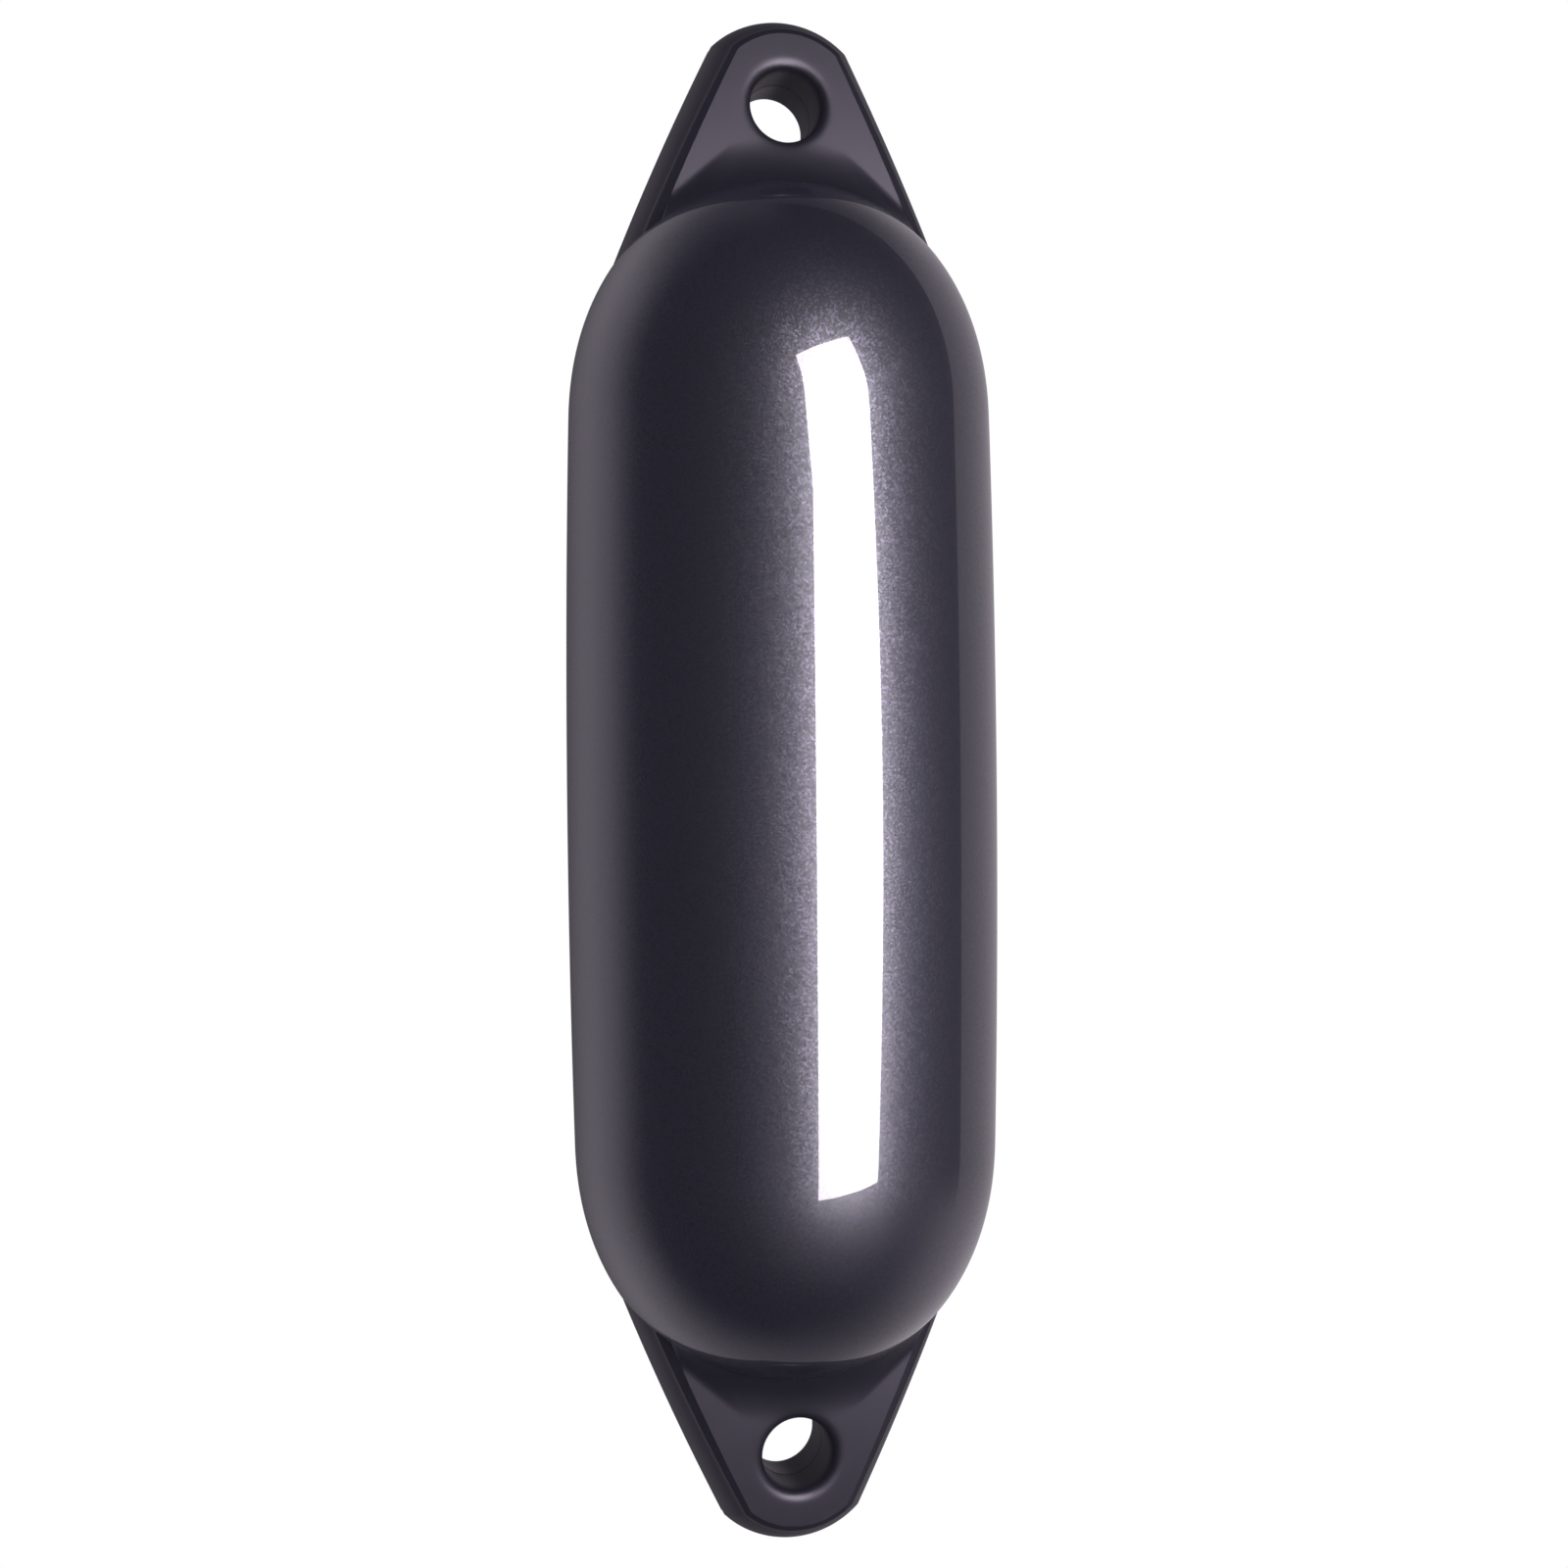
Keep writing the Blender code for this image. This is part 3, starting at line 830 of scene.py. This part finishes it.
tree, shader = start_material(satin_vinyl, Specular_IOR_Level=0.42, Specular_Tint=(0.97, 0.90, 1.0, 1))
grain = use_group(tree, fine_grain, Grain_Size=0.00045, Patch_Size=0.006)
grained(tree, shader, grain, (SATIN_COLOUR, SATIN_CLOUD), strength=0.35, distance=0.00004)
rough = add_node(tree, "ShaderNodeMapRange", {"Value": grain["Patches"], "To Min": 0.41, "To Max": 0.47})
tree.links.new(rough.outputs[0], shader.inputs["Roughness"])
print("Satin vinyl nodes:", len(tree.nodes))

# %% [markdown]
# ## Rubber of the valve
#
# Soft black rubber, duller than the vinyl, with a fine even grain.

# %% Valve rubber
RUBBER_COLOUR = (0.018, 0.018, 0.019, 1)
RUBBER_CLOUD = (0.026, 0.026, 0.027, 1)

tree, shader = start_material(plug_rubber, Roughness=0.62)
grain = use_group(tree, fine_grain, Grain_Size=0.0003, Patch_Size=0.004)
grained(tree, shader, grain, (RUBBER_COLOUR, RUBBER_CLOUD), strength=0.3, distance=0.00003)
print("Valve rubber nodes:", len(tree.nodes))

# %% [markdown]
# ## Studio
#
# The fender hangs in front of a white backdrop, and the studio before it is dark. The world
# gives plain white to the camera and an even plain light to matt surfaces. What glossy
# surfaces mirror has its own levels: the backdrop fades in from the left, starts at a clean
# edge on the right, and is dimmer high up and low down.

# %% Directions and steps of the studio
CAMERA_AZIMUTH = math.radians(-12.8)

looking = Vector((-math.sin(CAMERA_AZIMUTH), math.cos(CAMERA_AZIMUTH), 0.0))
rightwards = Vector((math.cos(CAMERA_AZIMUTH), math.sin(CAMERA_AZIMUTH), 0.0))


def ramp(tree, value, low, high, to_low=0.0, to_high=1.0):
    """Smooth step from one level to another while the value goes from low to high."""
    return add_node(tree, "ShaderNodeMapRange", {"Value": value, "From Min": low, "From Max": high,
                                                 "To Min": to_low, "To Max": to_high},
                    interpolation_type='SMOOTHSTEP').outputs[0]


def blend(tree, share, first, second):
    """Number between two others. Inputs 2 and 3 of a Mix node are its numbers."""
    return add_node(tree, "ShaderNodeMix", {"Factor": share, 2: first, 3: second}).outputs[0]


def along(tree, way, axis):
    product = add_node(tree, "ShaderNodeVectorMath", {0: way, 1: axis}, operation='DOT_PRODUCT')
    return product.outputs["Value"]


print("Camera looks along", [round(part, 3) for part in looking])

# %% [markdown]
# The levels below are in parts of full white. They are measured along two cosines, from
# straight ahead of the camera and from its right, and along the sine of the elevation.

# %% World
PLAIN_LIGHT = 0.75
LEFT_LEVEL = 0.55
LEFT_RISE = (-0.22, 0.28)           # cosines from the way the camera looks: dark to full level
LEFT_FALL = (0.40, 1.0)
LEFT_LAST = 0.15                    # share of the level that is left straight ahead
RIGHT_LEVEL = 0.38
RIGHT_EDGE = (0.30, 0.315)          # the backdrop's clean right edge, as the same cosine
RIGHT_SOFT = (-0.35, 0.35)          # low down, the same edge is a soft one
RIGHT_SOFT_LEVEL = 0.50
RIGHT_CRISP_ABOVE = (-0.45, -0.20)  # sine of the elevation over which soft turns to clean
SIDE_BLEND = (-0.1, 0.1)            # where the left side turns into the right one
ABOVE_FADE = (0.55, 0.95)           # sine of the elevation over which the backdrop dims
ABOVE_LAST = 0.20
BELOW_FADE = (0.55, 1.0)
BELOW_LAST = 0.45
REFLECTED_TINT = (1.0, 0.91, 1.03, 1)
PLAIN_WHITE = (1, 1, 1, 1)

world = bpy.data.worlds.new("studio")
bpy.context.scene.world = world
world.use_nodes = True
tree = world.node_tree
way = add_node(tree, "ShaderNodeTexCoord").outputs["Generated"]
ahead, aside, above = (along(tree, way, axis) for axis in (looking, rightwards, Vector((0, 0, 1))))
left_side = calculate(tree, 'MULTIPLY', ramp(tree, ahead, *LEFT_RISE, 0.0, LEFT_LEVEL),
                      ramp(tree, ahead, *LEFT_FALL, 1.0, LEFT_LAST))
crisp = ramp(tree, ahead, *RIGHT_EDGE, 0.0, RIGHT_LEVEL)
soft = ramp(tree, ahead, *RIGHT_SOFT, 0.0, RIGHT_SOFT_LEVEL)
right_side = blend(tree, ramp(tree, above, *RIGHT_CRISP_ABOVE), soft, crisp)
sides = blend(tree, ramp(tree, aside, *SIDE_BLEND), left_side, right_side)
low_part = calculate(tree, 'MULTIPLY', above, -1)
fading = calculate(tree, 'MULTIPLY', ramp(tree, above, *ABOVE_FADE, 1.0, ABOVE_LAST),
                   ramp(tree, low_part, *BELOW_FADE, 1.0, BELOW_LAST))
reflected = calculate(tree, 'MULTIPLY', sides, fading)
rays = add_node(tree, "ShaderNodeLightPath").outputs
seen = calculate(tree, 'MAXIMUM', rays["Is Camera Ray"], rays["Is Transmission Ray"])
level = blend(tree, seen, blend(tree, rays["Is Glossy Ray"], PLAIN_LIGHT, reflected), 1.0)
tint = mix_colours(tree, rays["Is Glossy Ray"], PLAIN_WHITE, REFLECTED_TINT)
tree.links.new(level, tree.nodes["Background"].inputs["Strength"])
tree.links.new(tint, tree.nodes["Background"].inputs["Color"])
print("World nodes:", len(tree.nodes))

# %% [markdown]
# ## Softbox
#
# One tall, narrow softbox stands close by, to the right of the camera, and makes the long
# highlight. Its cloth is a flat glowing panel that only reflections see. The highlight
# in the photograph has cut corners and a bowed right side, so the panel's outline has
# them too. A large weak lamp fills in from the same side.

# %% Softbox and fill
SOFTBOX_DISTANCE = 0.32
SOFTBOX_AZIMUTH = math.radians(20)
SOFTBOX_LEVEL = 19.0
CLOTH_TINT = (1, 0.955, 0.975, 1)
PANEL_TOP_LEFT = (-0.145, 0.245)    # corners of the cloth: how far right and how far up
PANEL_TOP_RIGHT = (0.015, 0.275)
PANEL_RIGHT_KNEE = (0.060, 0.180)
PANEL_LOWER_RIGHT = (0.065, -0.200)
PANEL_LOWER_LEFT = (-0.100, -0.230)
PANEL_LEFT_KNEE = (-0.100, 0.140)
RIGHT_BOW = 0.020                   # how far the right side swells between its two corners
BOW_STEPS = 12
FILL_PLACE = Vector((0.9, -1.2, 1.1))
FILL_SIZE = 0.9
FILL_POWER = 3.0


def hide_from(item, *kinds):
    for kind in kinds:
        setattr(item, "visible_" + kind, False)


panel_outline = [PANEL_TOP_LEFT, PANEL_TOP_RIGHT]
for step in range(BOW_STEPS + 1):
    way = step / BOW_STEPS
    x, height = (high * (1 - way) + low * way for high, low in zip(PANEL_RIGHT_KNEE, PANEL_LOWER_RIGHT))
    panel_outline.append((x + RIGHT_BOW * math.sin(math.pi * way), height))
panel_outline += [PANEL_LOWER_LEFT, PANEL_LEFT_KNEE]
panel_shape = bmesh.new()
corners = [panel_shape.verts.new((x, -SOFTBOX_DISTANCE, height)) for x, height in panel_outline]
panel_shape.faces.new(corners)
bmesh.ops.transform(panel_shape, matrix=Matrix.Rotation(SOFTBOX_AZIMUTH, 4, 'Z'), verts=panel_shape.verts)
panel_mesh = bpy.data.meshes.new("softbox")
panel_shape.to_mesh(panel_mesh)
panel_shape.free()
softbox = place_object("softbox", panel_mesh)
glow = bpy.data.materials.new("softbox_cloth")
start_material(glow, Base_Color=(0, 0, 0, 1), Emission_Color=CLOTH_TINT, Emission_Strength=SOFTBOX_LEVEL)
softbox.data.materials.append(glow)
hide_from(softbox, "camera", "diffuse", "shadow", "transmission", "volume_scatter")

fill_light = bpy.data.lights.new("fill", 'AREA')
fill_light.size = FILL_SIZE
fill_light.energy = FILL_POWER
fill = bpy.data.objects.new("fill", fill_light)
bpy.context.scene.collection.objects.link(fill)
fill_turn = (-FILL_PLACE).to_track_quat('-Z', 'Y').to_matrix().to_4x4()
fill.matrix_world = Matrix.Translation(FILL_PLACE) @ fill_turn
hide_from(fill, "glossy", "camera")
print("Softbox corners:", len(panel_outline))

# %% [markdown]
# ## Floor
#
# The fender hangs, so the floor lies well below it and out of the picture. It is a plain
# pale disc, there for the light that it sends up and for views from above. Reflections
# leave it out, so that its edge draws no line on the lower dome.

# %% Floor
FLOOR_HEIGHT = -0.62
FLOOR_RADIUS = 0.75
FLOOR_STEPS = 128
FLOOR_COLOUR = (0.9, 0.9, 0.9, 1)
FLOOR_WHITENED = 0.6           # share of plain white that the camera sees instead of shading

floor_shape = bmesh.new()
bmesh.ops.create_circle(floor_shape, cap_ends=True, segments=FLOOR_STEPS, radius=FLOOR_RADIUS,
                        matrix=Matrix.Translation((0, 0, FLOOR_HEIGHT)))
floor_mesh = bpy.data.meshes.new("floor")
floor_shape.to_mesh(floor_mesh)
floor_shape.free()
floor = place_object("floor", floor_mesh)
floor_finish = bpy.data.materials.new("pale_floor")
tree, shader = start_material(floor_finish, Base_Color=FLOOR_COLOUR, Roughness=0.8)
white = add_node(tree, "ShaderNodeEmission", {"Strength": 1.0})
rays = add_node(tree, "ShaderNodeLightPath").outputs
share = calculate(tree, 'MULTIPLY', rays["Is Camera Ray"], FLOOR_WHITENED)
both = add_node(tree, "ShaderNodeMixShader", {0: share, 1: shader.outputs[0], 2: white.outputs[0]})
tree.links.new(both.outputs[0], tree.nodes["Material Output"].inputs["Surface"])
floor.data.materials.append(floor_finish)
hide_from(floor, "glossy")
print("Floor at height, mm:", FLOOR_HEIGHT * 1000)

# %% [markdown]
# ## Camera
#
# The photograph was taken from the height of the fender's middle, about 13 degrees to the
# left of the lugs' normal and from about 0.7 m away. The fender hung half a degree askew,
# so the camera is rolled by that much.

# %% Camera
IMAGE_SIZE = 1600
FOCAL_LENGTH_PX = 2034
CENTRE_PX = (797.84, 796.4)        # where the fender's middle lies in the photograph
CAMERA_DISTANCE = 0.6995
CAMERA_ROLL = math.radians(0.52)
SENSOR_WIDTH = 36.0

camera_data = bpy.data.cameras.new("camera")
camera_data.sensor_width = SENSOR_WIDTH
camera_data.lens = SENSOR_WIDTH * FOCAL_LENGTH_PX / IMAGE_SIZE
camera = bpy.data.objects.new("camera", camera_data)
bpy.context.scene.collection.objects.link(camera)
yaw = math.atan((CENTRE_PX[0] - IMAGE_SIZE / 2) / FOCAL_LENGTH_PX)
pitch = math.atan((CENTRE_PX[1] - IMAGE_SIZE / 2) / FOCAL_LENGTH_PX)
camera.matrix_world = (Matrix.Translation(-looking * CAMERA_DISTANCE)
                       @ looking.to_track_quat('-Z', 'Y').to_matrix().to_4x4()
                       @ Matrix.Rotation(yaw, 4, 'Y') @ Matrix.Rotation(pitch, 4, 'X')
                       @ Matrix.Rotation(-CAMERA_ROLL, 4, 'Z'))
bpy.context.scene.camera = camera
bpy.context.scene.view_settings.view_transform = 'Standard'
print("Lens, mm:", round(camera_data.lens, 2))

# %% [markdown]
# ## Hand over to the frame
#
# Both pieces ride on the row's one body. The moulding stands for the CAD body and the plug
# for the CAD valve, so those two are hidden and stay behind for collision.

# %% Riders and sizes
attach(skin, "root")
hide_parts("fender_body")
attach(plug, "root")
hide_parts("needle_valve")
